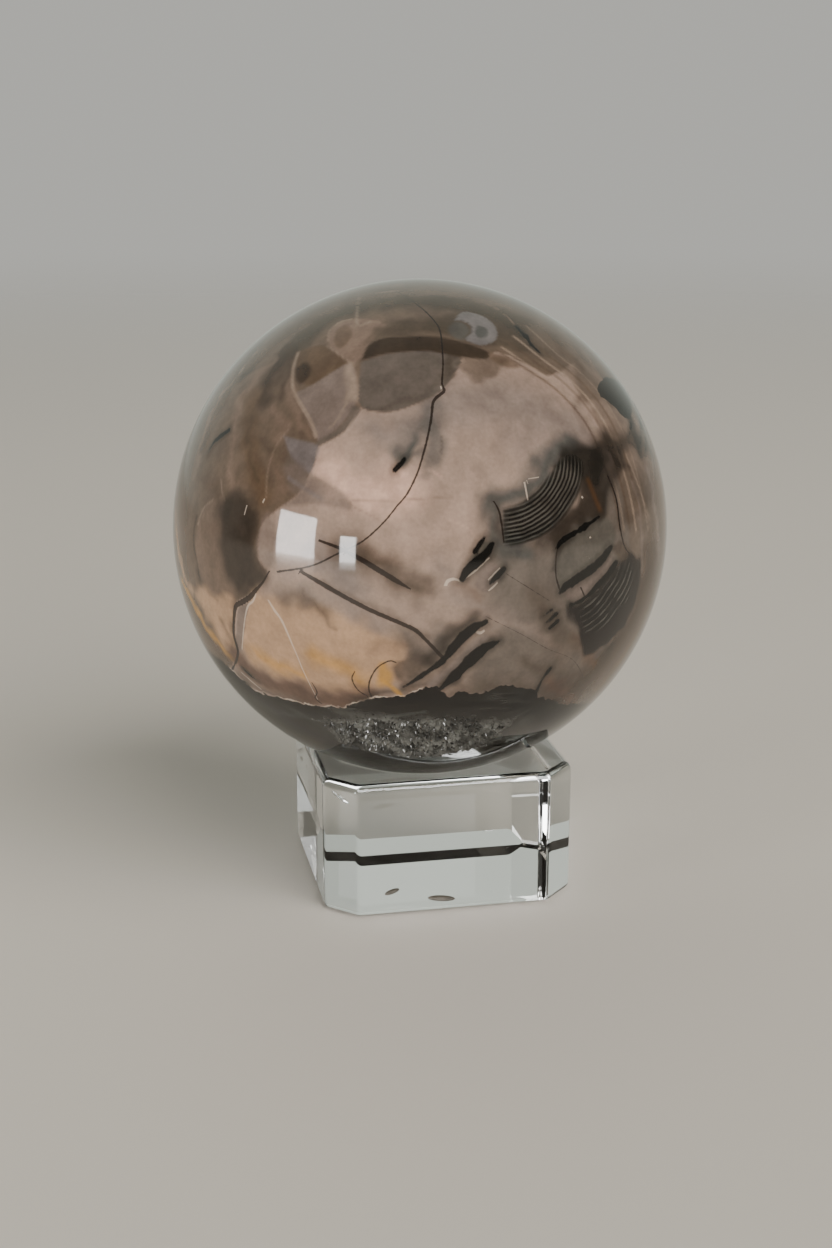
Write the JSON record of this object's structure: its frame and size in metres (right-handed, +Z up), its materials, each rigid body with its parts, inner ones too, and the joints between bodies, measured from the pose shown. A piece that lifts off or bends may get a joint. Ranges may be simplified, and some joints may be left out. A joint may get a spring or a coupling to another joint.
{
  "type": "decorative sphere on a stand",
  "caption": "Polished agate sphere with ink-like markings that rests in the dish of a square clear glass block stand with cut corners.",
  "frame": {"origin": "on the table, straight below the middle of the sphere", "axes": "+Z up; -Y is the front, where the stand's front face is and the crystal patch on the sphere looks; +X to the right seen from the front"},
  "size_m": [0.078, 0.078, 0.0961],
  "materials": {
    "polished_stone": "polished, partly see-through, taupe with smoky ink-like marks and amber patches",
    "clear_glass": "clear, polished"
  },
  "bodies": {
    "root": {"stone_sphere": "polished_stone", "glass_stand": "clear_glass"}
  },
  "joints": []
}
